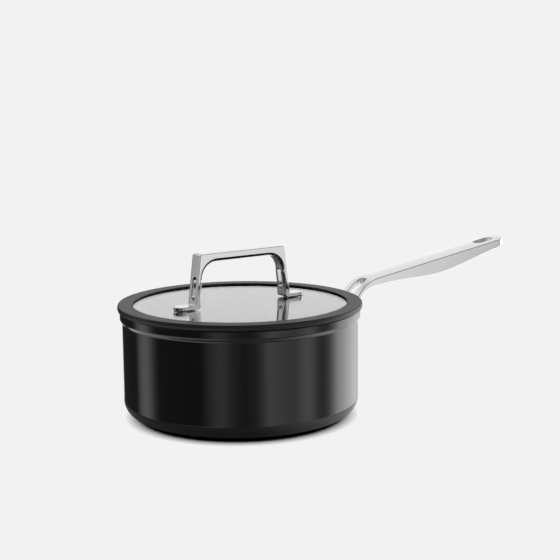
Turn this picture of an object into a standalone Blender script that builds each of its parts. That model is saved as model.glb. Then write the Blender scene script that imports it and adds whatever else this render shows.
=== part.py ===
"""Saucepan with a flat glass lid, 18 cm, as an assembly of separate pieces.

Metres, +Z up. The origin is the middle of the base, on the surface the pan stands on.
The long handle and the lid handle both lie along +X.
"""
import math

import bmesh
import bpy
from mathutils import Matrix, Vector

MM = 0.001
GAP = 0.3 * MM
SIDES = 64

# Pan, turned about +Z
INNER_RADIUS = 90.0 * MM
WALL = 2.0 * MM
BODY_RADIUS = INNER_RADIUS + WALL
COLLAR_STEP = 1.8 * MM
COLLAR_RADIUS = BODY_RADIUS + COLLAR_STEP
SHOULDER_BOTTOM = 76.0 * MM
SHOULDER_TOP = 79.9 * MM
PAN_TOP = 85.3 * MM
PAN_UNDERSIDE = 3.0 * MM
FLOOR_TOP = 7.0 * MM
CORNER_RADIUS = 12.0 * MM
PLATE_RADIUS = 70.0 * MM
PLATE_THICKNESS = 3.6 * MM

# Lid: glass disc held in a silicone ring
RIM_RADIUS = 95.0 * MM
RIM_BULGE = 0.35 * MM
RIM_TOP = 89.9 * MM
RIM_UNDERSIDE = PAN_TOP + GAP
RIM_OPENING = 83.5 * MM
GLASS_TOP = 88.6 * MM
GLASS_THICKNESS = 4.0 * MM
GLASS_BOTTOM = GLASS_TOP - GLASS_THICKNESS
GLASS_RADIUS = 88.0 * MM
PLUG_RADIUS = INNER_RADIUS + COLLAR_STEP - 0.6 * MM
PLUG_INNER_RADIUS = 85.5 * MM
PLUG_BOTTOM = 81.8 * MM

# Lid handle: a flat strap bent to a bridge with outward feet
STRAP_WIDTH = 11.8 * MM
BRIDGE_TOP = 130.9 * MM
BRIDGE_HALF = 39.0 * MM
FOOT_HALF = 43.9 * MM
FOOT_REACH = 15.5 * MM
FOOT_THICKNESS = 2.7 * MM
BAR_THICKNESS = 6.4 * MM
LEG_THICKNESS = 4.2 * MM
INNER_BEND = 13.0 * MM
FOOT_BEND = 3.2 * MM
PAD_THICKNESS = 0.3 * MM
PAD_GAP = 0.15 * MM
PAD_BOTTOM = GLASS_TOP + PAD_GAP
FOOT_BOTTOM = PAD_BOTTOM + PAD_THICKNESS + PAD_GAP
FOOT_FILLET = 1.5 * MM
LEG_SLOT_WIDTH = 5.0 * MM
LEG_SLOT_LOW = 3.7 * MM
LEG_SLOT_HIGH = 21.4 * MM

# Lid fixings: a screw up through washer, glass and pad into each foot
SCREW_X = 52.6 * MM
SCREW_RADIUS = 2.0 * MM
SCREW_HEAD_RADIUS = 4.2 * MM
SCREW_HEAD_HEIGHT = 2.4 * MM
WASHER_RADIUS = 7.0 * MM
WASHER_THICKNESS = 1.2 * MM
BUSH_RADIUS = 3.9 * MM
TAPPED_DEPTH = 2.0 * MM

# Long handle: cast bar that drops to a forked root and a flange on the wall
HANDLE_WIDTH = 22.4 * MM
HANDLE_TIP = 278.4 * MM
HANDLE_RISE = math.radians(8.25)
ROOT_SLOPE = math.radians(58.0)
BEND_RADIUS = 33.0 * MM
BEND_END = Vector((131.5 * MM, 96.2 * MM))
ROOT_X = 94.0 * MM
THICKNESS_AT = ((112.0, 3.5), (131.0, 6.6), (200.0, 13.0), (272.0, 7.4))
TIP_PLAN_RADIUS = 8.5 * MM
HOLE_MIDDLE = 259.4 * MM
HOLE_LENGTH = 20.0 * MM
HOLE_WIDTH = 9.8 * MM
FORK_END = 125.4 * MM
FORK_WIDTH = 9.0 * MM
FORK_TILT = math.radians(30.0)

# Flange and the studs that hold it: welded to the wall, with a domed head outside
FLANGE_THICKNESS = 3.0 * MM
FLANGE_HALF_WIDTH = 24.0 * MM
FLANGE_HALF_HEIGHT = 11.0 * MM
FLANGE_Z = 56.5 * MM
STUD_ANGLE = math.radians(10.6)
STUD_RADIUS = 2.6 * MM
STUD_HEAD_RADIUS = 5.0 * MM
STUD_HEAD_HEIGHT = 1.8 * MM

MATERIALS = {
    "black_coating": ((0.012, 0.011, 0.010), 0.28, 0.3),
    "base_steel": ((0.45, 0.45, 0.46), 0.35, 1.0),
    "polished_steel": ((0.80, 0.80, 0.81), 0.14, 1.0),
    "silicone": ((0.035, 0.036, 0.038), 0.55, 0.0),
    "lid_glass": ((0.62, 0.63, 0.63), 0.03, 0.0),
    "dark_rubber": ((0.02, 0.02, 0.02), 0.7, 0.0),
}


def clear_scene():
    for obj in list(bpy.data.objects):
        bpy.data.objects.remove(obj, do_unlink=True)


def new_collection(name):
    collection = bpy.data.collections.new(name)
    bpy.context.scene.collection.children.link(collection)
    return collection


def make_material(name):
    color, roughness, metallic = MATERIALS[name]
    material = bpy.data.materials.new(name)
    material.use_nodes = True
    shader = material.node_tree.nodes["Principled BSDF"]
    shader.inputs["Base Color"].default_value = (*color, 1.0)
    shader.inputs["Roughness"].default_value = roughness
    shader.inputs["Metallic"].default_value = metallic
    return material


def add_object(name, mesh, collection, material=None):
    obj = bpy.data.objects.new(name, mesh)
    collection.objects.link(obj)
    if material:
        mesh.materials.append(material)
    return obj


def smooth(obj, degrees=30.0):
    obj.data.shade_smooth()
    obj.data.set_sharp_from_angle(angle=math.radians(degrees))


def arc(center, radius, start, end, steps):
    """Points on an arc, angles in degrees from +X towards +Z."""
    points = []
    for i in range(steps + 1):
        angle = math.radians(start + (end - start) * i / steps)
        points.append((center[0] + radius * math.cos(angle), center[1] + radius * math.sin(angle)))
    return points


def ease(low, high, t):
    """Smooth step from low to high while t goes from 0 to 1."""
    return low + (high - low) * t * t * (3.0 - 2.0 * t)


def profile_mesh(name, points, closed):
    mesh = bpy.data.meshes.new(name)
    count = len(points)
    edges = [(i, i + 1) for i in range(count - 1)]
    if closed:
        edges.append((count - 1, 0))
    mesh.from_pydata([(x, 0.0, z) for x, z in points], edges, [])
    return mesh


def turned(name, points, collection, material=None, closed=False, sides=SIDES):
    """A profile of (radius, height) points turned about the object's Z axis."""
    obj = add_object(name, profile_mesh(name, points, closed), collection, material)
    screw = obj.modifiers.new("Turn", "SCREW")
    screw.axis = "Z"
    screw.steps = sides
    screw.render_steps = sides
    screw.use_merge_vertices = True
    screw.merge_threshold = 0.00001
    screw.use_smooth_shade = True
    return obj


def baked(obj):
    """Replace an object's base mesh with its evaluated one and drop its modifiers."""
    depsgraph = bpy.context.evaluated_depsgraph_get()
    mesh = bpy.data.meshes.new_from_object(obj.evaluated_get(depsgraph))
    obj.modifiers.clear()
    obj.data = mesh
    return obj


def prism(name, outline, half_depth, collection, material=None):
    """A flat outline filled and extruded both ways along the object's Z axis."""
    curve = bpy.data.curves.new(name, "CURVE")
    curve.dimensions = "2D"
    curve.fill_mode = "BOTH"
    curve.extrude = half_depth
    spline = curve.splines.new("POLY")
    spline.points.add(len(outline) - 1)
    for point, (x, y) in zip(spline.points, outline):
        point.co = (x, y, 0.0, 1.0)
    spline.use_cyclic_u = True
    source = bpy.data.objects.new(name + "_outline", curve)
    collection.objects.link(source)
    depsgraph = bpy.context.evaluated_depsgraph_get()
    mesh = bpy.data.meshes.new_from_object(source.evaluated_get(depsgraph))
    bpy.data.objects.remove(source, do_unlink=True)
    solid = bmesh.new()
    solid.from_mesh(mesh)
    bmesh.ops.remove_doubles(solid, verts=solid.verts, dist=0.00001)
    bmesh.ops.recalc_face_normals(solid, faces=solid.faces)
    solid.to_mesh(mesh)
    solid.free()
    mesh.name = name
    return add_object(name, mesh, collection, material)


def side_prism(name, outline, half_depth, collection, material=None):
    """A prism whose outline lies in the XZ plane and whose depth runs along Y."""
    obj = prism(name, outline, half_depth, collection, material)
    obj.data.transform(Matrix.Rotation(math.radians(90.0), 4, "X"))
    return obj


def cut(obj, tool, operation="DIFFERENCE"):
    """Apply a Boolean with another object, which is then removed."""
    bpy.context.view_layer.update()
    boolean = obj.modifiers.new(operation.title(), "BOOLEAN")
    boolean.operation = operation
    boolean.solver = "EXACT"
    boolean.object = tool
    baked(obj)
    bpy.data.objects.remove(tool, do_unlink=True)


def rounded_edges(obj, width, segments, angle=40.0):
    bevel = obj.modifiers.new("Rounded edges", "BEVEL")
    bevel.width = width
    bevel.segments = segments
    bevel.limit_method = "ANGLE"
    bevel.angle_limit = math.radians(angle)
    bevel.harden_normals = False
    return baked(obj)


def stadium(middle, length, width, steps=8):
    """Outline of a slot with round ends, its length along X."""
    half = width / 2.0
    reach = length / 2.0 - half
    right = arc((middle + reach, 0.0), half, -90.0, 90.0, steps)
    left = arc((middle - reach, 0.0), half, 90.0, 270.0, steps)
    return right + left


def rounded_box_outline(half_x, half_y, radius, steps=6):
    outline = []
    for turn, (sx, sy) in enumerate(((1, 1), (-1, 1), (-1, -1), (1, -1))):
        center = (sx * (half_x - radius), sy * (half_y - radius))
        outline += arc(center, radius, 90.0 * turn, 90.0 * turn + 90.0, steps)
    return outline


def shoulder(lower_radius, upper_radius, rising, steps=4):
    """The soft step between the straight wall and the wider collar above it."""
    points = []
    for i in range(steps + 1):
        t = i / steps
        height = SHOULDER_BOTTOM + (SHOULDER_TOP - SHOULDER_BOTTOM) * t
        points.append((ease(lower_radius, upper_radius, t), height))
    return points if rising else points[::-1]


def pan_profile():
    inner_corner = CORNER_RADIUS - WALL
    plate_seat = PLATE_RADIUS + GAP
    points = [(0.0, FLOOR_TOP)]
    points += arc((INNER_RADIUS - inner_corner, FLOOR_TOP + inner_corner), inner_corner, -90.0, 0.0, 5)
    points += shoulder(INNER_RADIUS, INNER_RADIUS + COLLAR_STEP, rising=True)
    points += arc((COLLAR_RADIUS - WALL / 2.0, PAN_TOP - WALL / 2.0), WALL / 2.0, 180.0, 0.0, 4)
    points += shoulder(BODY_RADIUS, COLLAR_RADIUS, rising=False)
    corner_center = (BODY_RADIUS - CORNER_RADIUS, PAN_UNDERSIDE + CORNER_RADIUS)
    points += arc(corner_center, CORNER_RADIUS, 0.0, -90.0, 7)
    points += [(plate_seat, PAN_UNDERSIDE), (plate_seat, PLATE_THICKNESS + GAP)]
    points += [(0.0, PLATE_THICKNESS + GAP)]
    return points


def stud_place(side):
    """Frame of a stud: its local Z points straight out from the pan's wall."""
    turn = Matrix.Rotation(side * STUD_ANGLE, 4, "Z")
    lay_down = Matrix.Rotation(math.radians(90.0), 4, "Y")
    return turn @ Matrix.Translation((0.0, 0.0, FLANGE_Z)) @ lay_down


def stud_hole(side, collection):
    """Cutter for a stud's hole in the flange."""
    middle = BODY_RADIUS
    half = 12.0 * MM
    radius = STUD_RADIUS + GAP
    points = [(0.0, middle + half), (radius, middle + half), (radius, middle - half), (0.0, middle - half)]
    hole = turned("stud_hole", points, collection, sides=24)
    hole.matrix_world = stud_place(side)
    return hole


def make_pan(parts, materials):
    smooth(baked(turned("pot_body", pan_profile(), parts, materials["black_coating"])))


def make_base_plate(parts, materials):
    chamfer = 0.3 * MM
    points = [
        (0.0, PLATE_THICKNESS),
        (PLATE_RADIUS - chamfer, PLATE_THICKNESS),
        (PLATE_RADIUS, PLATE_THICKNESS - chamfer),
        (PLATE_RADIUS, chamfer),
        (PLATE_RADIUS - chamfer, 0.0),
        (0.0, 0.0),
    ]
    smooth(baked(turned("base_plate", points, parts, materials["base_steel"])))


def dome(radius, height, base, steps=4):
    """A low dome above height `base`, from its crown out to its edge."""
    points = []
    for i in range(steps + 1):
        angle = math.radians(90.0 * i / steps)
        points.append((radius * math.sin(angle), base + height * math.cos(angle)))
    return points


def upside_down(points, level):
    """The same profile mirrored below `level`, from its edge in to its crown."""
    return [(radius, 2.0 * level - z) for radius, z in reversed(points)]


def make_studs(parts, materials):
    """Each stud stands on the wall and holds the flange under its domed head."""
    foot = BODY_RADIUS + GAP
    seat = BODY_RADIUS + GAP + FLANGE_THICKNESS + GAP
    for number, side in enumerate((-1, 1), start=1):
        points = dome(STUD_HEAD_RADIUS, STUD_HEAD_HEIGHT, seat)
        points += [(STUD_RADIUS, seat), (STUD_RADIUS, foot), (0.0, foot)]
        stud = turned(f"handle_stud_{number}", points, parts, materials["polished_steel"], sides=24)
        stud.matrix_world = stud_place(side)
        smooth(baked(stud))


def handle_thickness(x):
    """Depth of the long handle below its top face at distance x from the pan's axis."""
    stations = [(place * MM, depth * MM) for place, depth in THICKNESS_AT]
    if x <= stations[0][0]:
        return stations[0][1]
    for (x0, depth0), (x1, depth1) in zip(stations, stations[1:]):
        if x <= x1:
            return ease(depth0, depth1, (x - x0) / (x1 - x0))
    return stations[-1][1]


def handle_top_line():
    """Top face of the long handle as (x, z, slope) from its root to its tip."""
    line = []
    bend_steps = 12
    bend_center = BEND_END + BEND_RADIUS * Vector((math.sin(HANDLE_RISE), -math.cos(HANDLE_RISE)))
    for i in range(bend_steps + 1):
        slope = ROOT_SLOPE + (HANDLE_RISE - ROOT_SLOPE) * i / bend_steps
        x = bend_center.x - BEND_RADIUS * math.sin(slope)
        z = bend_center.y + BEND_RADIUS * math.cos(slope)
        line.append((x, z, slope))
    bend_x, bend_z, slope = line[0]
    line.insert(0, (ROOT_X, bend_z - (bend_x - ROOT_X) * math.tan(slope), slope))
    straight_steps = 22
    run = HANDLE_TIP - BEND_END.x
    for i in range(1, straight_steps + 1):
        along = run * i / straight_steps
        line.append((BEND_END.x + along, BEND_END.y + along * math.tan(HANDLE_RISE), HANDLE_RISE))
    return line


def handle_outline():
    """Side view of the long handle, top face and underside."""
    top = handle_top_line()
    under = []
    for x, z, slope in top:
        depth = handle_thickness(x)
        under.append((x + depth * math.sin(slope), z - depth * math.cos(slope)))
    root_x, root_z, slope = top[0]
    under[0] = (root_x, root_z - handle_thickness(root_x) / math.cos(slope))
    return [(x, z) for x, z, slope in top] + under[::-1]


def handle_plan():
    """Plan view that rounds the handle's tip."""
    half = HANDLE_WIDTH / 2.0
    tip_middle = HANDLE_TIP - TIP_PLAN_RADIUS
    outline = [(ROOT_X - 20.0 * MM, -half)]
    outline += arc((tip_middle, -half + TIP_PLAN_RADIUS), TIP_PLAN_RADIUS, -90.0, 0.0, 8)
    outline += arc((tip_middle, half - TIP_PLAN_RADIUS), TIP_PLAN_RADIUS, 0.0, 90.0, 8)
    outline += [(ROOT_X - 20.0 * MM, half)]
    return outline


def make_flange(cutters):
    """Curved pad that sits on the pan's wall."""
    inner = BODY_RADIUS + GAP
    outer = inner + FLANGE_THICKNESS
    reach = FLANGE_HALF_HEIGHT * 1.5
    top = FLANGE_Z + reach
    bottom = FLANGE_Z - reach
    points = [(inner, top), (outer, top), (outer, bottom), (inner, bottom)]
    flange = baked(turned("flange", points, cutters, closed=True, sides=160))
    corner = 9.0 * MM
    shape = prism(
        "flange_shape",
        rounded_box_outline(FLANGE_HALF_HEIGHT, FLANGE_HALF_WIDTH, corner),
        20.0 * MM,
        cutters,
    )
    shape.data.transform(Matrix.Rotation(math.radians(90.0), 4, "Y"))
    shape.location = (outer, 0.0, FLANGE_Z)
    cut(flange, shape, "INTERSECT")
    return flange


def make_long_handle(parts, cutters, materials):
    height = 150.0 * MM
    steel = materials["polished_steel"]
    handle = side_prism("long_handle", handle_outline(), HANDLE_WIDTH / 2.0, parts, steel)
    plan = prism("handle_plan", handle_plan(), height, cutters)
    cut(handle, plan, "INTERSECT")
    hole = prism("hanging_hole", stadium(0.0, HOLE_LENGTH, HOLE_WIDTH), 20.0 * MM, cutters)
    hole.rotation_euler = (0.0, -HANDLE_RISE, 0.0)
    hole_rise = (HOLE_MIDDLE - BEND_END.x) * math.tan(HANDLE_RISE)
    hole.location = (HOLE_MIDDLE, 0.0, BEND_END.y + hole_rise)
    cut(handle, hole)
    fork_length = 60.0 * MM
    fork = prism("fork_slot", stadium(-fork_length / 2.0, fork_length, FORK_WIDTH), 60.0 * MM, cutters)
    fork.rotation_euler = (0.0, -FORK_TILT, 0.0)
    fork.location = (FORK_END, 0.0, 94.5 * MM)
    cut(handle, fork)
    rounded_edges(handle, 0.7 * MM, 2)
    cut(handle, make_flange(cutters), "UNION")
    for side in (-1, 1):
        cut(handle, stud_hole(side, cutters))
    smooth(handle)


def drilled(side, radius, top, bottom, cutters):
    """Round cutter for a screw hole in the lid's fixings."""
    points = [(0.0, top), (radius, top), (radius, bottom), (0.0, bottom)]
    hole = turned("screw_hole", points, cutters, sides=24)
    hole.location.x = side * SCREW_X
    return hole


def make_glass(parts, cutters, materials):
    edge = 0.8 * MM
    points = [
        (0.0, GLASS_TOP),
        (GLASS_RADIUS - edge, GLASS_TOP),
        (GLASS_RADIUS, GLASS_TOP - edge),
        (GLASS_RADIUS, GLASS_BOTTOM + edge),
        (GLASS_RADIUS - edge, GLASS_BOTTOM),
        (0.0, GLASS_BOTTOM),
    ]
    glass = baked(turned("lid_glass", points, parts, materials["lid_glass"]))
    radius = BUSH_RADIUS + GAP
    for side in (-1, 1):
        cut(glass, drilled(side, radius, GLASS_TOP + MM, GLASS_BOTTOM - MM, cutters))
    smooth(glass)


def make_rim_seal(parts, materials):
    """Silicone ring: a lip over the glass, a rounded side, and a plug inside the pan."""
    groove_top = GLASS_TOP + GAP
    groove_bottom = GLASS_BOTTOM - GAP
    groove_radius = GLASS_RADIUS + GAP
    edge = 0.7 * MM
    lip = 0.3 * MM
    points = [(RIM_OPENING + lip, RIM_TOP)]
    points += arc((RIM_RADIUS - edge, RIM_TOP - edge), edge, 90.0, 20.0, 4)
    points += [
        (RIM_RADIUS + RIM_BULGE, (RIM_TOP + RIM_UNDERSIDE) / 2.0),
        (RIM_RADIUS, RIM_UNDERSIDE + edge),
        (RIM_RADIUS - edge, RIM_UNDERSIDE),
        (PLUG_RADIUS, RIM_UNDERSIDE),
        (PLUG_RADIUS, PLUG_BOTTOM + MM),
        (PLUG_RADIUS - MM, PLUG_BOTTOM),
        (PLUG_INNER_RADIUS, PLUG_BOTTOM),
        (PLUG_INNER_RADIUS, groove_bottom),
        (groove_radius, groove_bottom),
        (groove_radius, groove_top),
        (RIM_OPENING, groove_top),
        (RIM_OPENING, RIM_TOP - lip),
    ]
    smooth(baked(turned("lid_rim_seal", points, parts, materials["silicone"], closed=True)))


def leg_x(z):
    """Outer face of a leg: it leans outwards from the bridge down to the foot."""
    fall = (BRIDGE_TOP - z) / (BRIDGE_TOP - FOOT_BOTTOM)
    return BRIDGE_HALF + (FOOT_HALF - BRIDGE_HALF) * fall


def half_bridge():
    """Outer line from the top middle to the foot tip, then the inner line back up."""
    foot_top = FOOT_BOTTOM + FOOT_THICKNESS
    top_edge = 2.2 * MM
    outer = [(0.0, BRIDGE_TOP)]
    outer += arc((BRIDGE_HALF - top_edge, BRIDGE_TOP - top_edge), top_edge, 90.0, 5.0, 4)
    lean = math.degrees(math.atan((FOOT_HALF - BRIDGE_HALF) / (BRIDGE_TOP - FOOT_BOTTOM)))
    fillet_center = (leg_x(foot_top) + FOOT_FILLET, foot_top + FOOT_FILLET)
    outer += arc(fillet_center, FOOT_FILLET, 180.0 + lean, 270.0, 3)
    tip = FOOT_HALF + FOOT_REACH
    outer += [(tip, foot_top), (tip, FOOT_BOTTOM)]
    low = FOOT_BOTTOM + FOOT_BEND
    inner = arc((leg_x(low) - LEG_THICKNESS + FOOT_BEND, low), FOOT_BEND, 270.0, 180.0 - lean, 5)
    high = BRIDGE_TOP - BAR_THICKNESS - INNER_BEND
    bend_center = (leg_x(high) - LEG_THICKNESS - INNER_BEND, high)
    inner += arc(bend_center, INNER_BEND, -lean, 90.0, 9)
    return outer, inner


def bridge_outline():
    outer, inner = half_bridge()
    right = outer + inner
    left = [(-x, z) for x, z in reversed(right) if x > 0.0]
    return right + left


def leg_slot(side, cutters):
    """Round-ended slot through a leg, along the leg's lean."""
    lean = math.atan((FOOT_HALF - BRIDGE_HALF) / (BRIDGE_TOP - FOOT_BOTTOM))
    foot_top = FOOT_BOTTOM + FOOT_THICKNESS
    middle_z = foot_top + (LEG_SLOT_LOW + LEG_SLOT_HIGH) / 2.0
    length = LEG_SLOT_HIGH - LEG_SLOT_LOW
    slot = prism("leg_slot", stadium(0.0, length, LEG_SLOT_WIDTH), 6.0 * MM, cutters)
    slot.data.transform(Matrix.Rotation(math.radians(90.0), 4, "Y"))
    slot.rotation_euler = (0.0, -side * lean, 0.0)
    slot.location = (side * (leg_x(middle_z) - LEG_THICKNESS / 2.0), 0.0, middle_z)
    return slot


def make_lid_handle(parts, cutters, materials):
    steel = materials["polished_steel"]
    bridge = side_prism("lid_handle", bridge_outline(), STRAP_WIDTH / 2.0, parts, steel)
    length = 2.0 * (FOOT_HALF + FOOT_REACH)
    feet = prism("feet_plan", stadium(0.0, length, STRAP_WIDTH, steps=12), 150.0 * MM, cutters)
    cut(bridge, feet, "INTERSECT")
    for side in (-1, 1):
        cut(bridge, leg_slot(side, cutters))
    rounded_edges(bridge, 0.4 * MM, 2)
    for side in (-1, 1):
        hole = drilled(side, SCREW_RADIUS + GAP, FOOT_BOTTOM + TAPPED_DEPTH, FOOT_BOTTOM - MM, cutters)
        cut(bridge, hole)
    smooth(bridge)


def ring(name, side, outer, inner, top, bottom, parts, material, sides=32):
    points = [(outer, top), (outer, bottom), (inner, bottom), (inner, top)]
    obj = turned(name, points, parts, material, closed=True, sides=sides)
    obj.location.x = side * SCREW_X
    return baked(obj)


def foot_pad(name, side, parts, cutters, material):
    """Thin pad under a foot, the foot's own shape in plan."""
    inner_end = FOOT_HALF - 1.5 * MM
    outer_end = FOOT_HALF + FOOT_REACH - 0.3 * MM
    length = outer_end - inner_end
    width = STRAP_WIDTH - 0.6 * MM
    outline = stadium((inner_end + outer_end) / 2.0, length, width)
    pad = prism(name, [(side * x, side * y) for x, y in outline], PAD_THICKNESS / 2.0, parts, material)
    pad.location.z = PAD_BOTTOM + PAD_THICKNESS / 2.0
    hole = drilled(side, SCREW_RADIUS + GAP, PAD_BOTTOM + MM, PAD_BOTTOM - MM, cutters)
    cut(pad, hole)
    smooth(pad)


def lid_screw(name, side, parts, material):
    washer_bottom = GLASS_BOTTOM - GAP - WASHER_THICKNESS
    seat = washer_bottom - GAP
    top = FOOT_BOTTOM + TAPPED_DEPTH - GAP
    points = [(0.0, top), (SCREW_RADIUS, top), (SCREW_RADIUS, seat), (SCREW_HEAD_RADIUS, seat)]
    points += upside_down(dome(SCREW_HEAD_RADIUS, SCREW_HEAD_HEIGHT, seat), seat)[1:]
    screw = turned(name, points, parts, material, sides=24)
    screw.location.x = side * SCREW_X
    smooth(baked(screw))


def make_lid_fixings(parts, cutters, materials):
    hole = SCREW_RADIUS + GAP
    steel = materials["polished_steel"]
    rubber = materials["dark_rubber"]
    washer_top = GLASS_BOTTOM - GAP
    for side, word in ((-1, "left"), (1, "right")):
        foot_pad(f"foot_gasket_{word}", side, parts, cutters, rubber)
        lid_screw(f"lid_screw_{word}", side, parts, steel)
        bush_ends = (GLASS_TOP, GLASS_BOTTOM)
        ring(f"glass_bush_{word}", side, BUSH_RADIUS, hole, *bush_ends, parts, rubber)
        washer_ends = (washer_top, washer_top - WASHER_THICKNESS)
        ring(f"lid_washer_{word}", side, WASHER_RADIUS, hole, *washer_ends, parts, steel)


def main():
    clear_scene()
    parts = new_collection("saucepan_with_glass_lid")
    cutters = new_collection("cutters")
    materials = {name: make_material(name) for name in MATERIALS}
    make_pan(parts, materials)
    make_base_plate(parts, materials)
    make_long_handle(parts, cutters, materials)
    make_studs(parts, materials)
    make_glass(parts, cutters, materials)
    make_rim_seal(parts, materials)
    make_lid_handle(parts, cutters, materials)
    make_lid_fixings(parts, cutters, materials)


main()
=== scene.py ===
"""Looks of the saucepan with a flat glass lid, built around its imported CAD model.

Metres, in the CAD model's frame: +Z up, both handles along +X, the pan's axis at the origin.
"""
import math

import bmesh
import bpy
import numpy as np
from mathutils import Matrix, Vector, geometry


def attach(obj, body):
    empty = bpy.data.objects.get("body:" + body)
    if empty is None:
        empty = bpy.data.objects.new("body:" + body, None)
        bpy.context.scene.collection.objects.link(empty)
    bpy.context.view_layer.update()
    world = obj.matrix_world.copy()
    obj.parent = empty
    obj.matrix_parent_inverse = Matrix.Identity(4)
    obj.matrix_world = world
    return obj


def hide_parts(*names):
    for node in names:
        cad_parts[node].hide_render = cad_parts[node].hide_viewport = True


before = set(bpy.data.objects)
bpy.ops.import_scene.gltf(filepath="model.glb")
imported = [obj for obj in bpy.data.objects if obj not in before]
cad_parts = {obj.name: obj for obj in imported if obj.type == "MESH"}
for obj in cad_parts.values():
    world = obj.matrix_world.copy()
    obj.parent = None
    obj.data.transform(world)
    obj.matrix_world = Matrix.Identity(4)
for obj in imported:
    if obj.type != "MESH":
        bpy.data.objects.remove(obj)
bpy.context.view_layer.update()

MM = 0.001
GAP = 0.3 * MM
SIDES = 288
EDGE_STEPS = 6

# Pan
INNER_RADIUS = 90.0 * MM
WALL = 2.0 * MM
BODY_RADIUS = INNER_RADIUS + WALL
COLLAR_STEP = 1.8 * MM
COLLAR_RADIUS = BODY_RADIUS + COLLAR_STEP
SHOULDER_BOTTOM = 76.0 * MM
SHOULDER_TOP = 79.9 * MM
PAN_TOP = 85.3 * MM
PAN_UNDERSIDE = 3.0 * MM
FLOOR_TOP = 7.0 * MM
CORNER_RADIUS = 12.0 * MM
PLATE_RADIUS = 70.0 * MM
PLATE_THICKNESS = 3.6 * MM

# Lid
RIM_RADIUS = 95.0 * MM
RIM_BULGE = 0.35 * MM
RIM_TOP = 89.9 * MM
RIM_UNDERSIDE = PAN_TOP + GAP
RIM_OPENING = 83.5 * MM
GLASS_TOP = 88.6 * MM
GLASS_BOTTOM = 84.6 * MM
GLASS_RADIUS = 88.0 * MM
PLUG_RADIUS = 91.2 * MM
PLUG_INNER_RADIUS = 85.5 * MM
PLUG_BOTTOM = 81.8 * MM

# Lid handle
STRAP_WIDTH = 11.8 * MM
BRIDGE_TOP = 130.9 * MM
BRIDGE_HALF = 39.0 * MM
FOOT_HALF = 43.9 * MM
FOOT_REACH = 15.5 * MM
FOOT_THICKNESS = 2.7 * MM
FOOT_BOTTOM = 89.2 * MM
FOOT_TOP = FOOT_BOTTOM + FOOT_THICKNESS
FOOT_FILLET = 1.5 * MM
FOOT_BEND = 3.2 * MM
BAR_THICKNESS = 6.4 * MM
LEG_THICKNESS = 4.2 * MM
INNER_BEND = 13.0 * MM
TOP_EDGE = 2.2 * MM
LEAN = math.atan((FOOT_HALF - BRIDGE_HALF) / (BRIDGE_TOP - FOOT_BOTTOM))
LEG_SLOT_WIDTH = 5.0 * MM
LEG_SLOT_LOW = 3.7 * MM
LEG_SLOT_HIGH = 21.4 * MM
STRAP_EDGE = 0.45 * MM
STRAP_UNDER_EDGE = 2.7 * MM
STRAP_EDGE_FADE = 8.0 * MM
PAD_BOTTOM = 88.75 * MM
PAD_THICKNESS = 0.3 * MM

# Lid fixings
SCREW_X = 52.6 * MM
SCREW_RADIUS = 2.0 * MM
SCREW_HEAD_RADIUS = 4.2 * MM
SCREW_HEAD_HEIGHT = 2.4 * MM
RECESS_DEPTH = 1.2 * MM
RECESS_REACH = 2.0 * MM
RECESS_HALF = 0.45 * MM
WASHER_RADIUS = 7.0 * MM
WASHER_THICKNESS = 1.2 * MM
BUSH_RADIUS = 3.9 * MM
TAPPED_DEPTH = 2.0 * MM

# Long handle
HANDLE_WIDTH = 22.4 * MM
HANDLE_TIP = 278.4 * MM
HANDLE_RISE = math.radians(8.25)
ROOT_SLOPE = math.radians(58.0)
ROOT_X = 94.0 * MM
BEND_RADIUS = 33.0 * MM
BEND_END = Vector((131.5 * MM, 96.2 * MM))
THICKNESS_AT = ((112.0, 3.5), (131.0, 6.6), (200.0, 13.0), (272.0, 7.4))
TIP_PLAN_RADIUS = 8.5 * MM
TIP_SET_BACK = 1.2 * MM
TIP_ROUNDING = 3.0 * MM
TIP_START = 262.0 * MM
HOLE_MIDDLE = 259.4 * MM
HOLE_LENGTH = 20.0 * MM
HOLE_WIDTH = 9.8 * MM
FORK_END = 125.3 * MM
FORK_WIDTH = 9.0 * MM
FORK_UNDERCUT = 0.9 * MM
CROWN = 0.7 * MM
TOP_ROUNDING = 0.65 * MM
UNDER_ROUNDING = 1.8 * MM
HOLE_UNDER_ROUNDING = 0.9 * MM

# Flange and the studs that hold it
FLANGE_INNER = BODY_RADIUS + GAP
FLANGE_THICKNESS = 3.0 * MM
FLANGE_OUTER = FLANGE_INNER + FLANGE_THICKNESS
FLANGE_HALF_WIDTH = 24.0 * MM
FLANGE_HALF_HEIGHT = 11.0 * MM
FLANGE_CORNER = 9.0 * MM
FLANGE_EDGE = 0.8 * MM
FLANGE_FINE_EDGE = 0.2 * MM
FLANGE_Z = 56.5 * MM
STUD_ANGLE = math.radians(10.6)
STUD_RADIUS = 2.6 * MM
STUD_HEAD_RADIUS = 5.0 * MM
STUD_HEAD_HEIGHT = 1.8 * MM

# Camera
CAMERA_PLACE = (-0.5600, -0.8462, 0.2775)
CAMERA_HEADING = math.radians(35.266)
CAMERA_DOWN = math.radians(9.574)
CAMERA_ROLL = math.radians(-0.571)
CAMERA_LENS = 84.92

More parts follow.
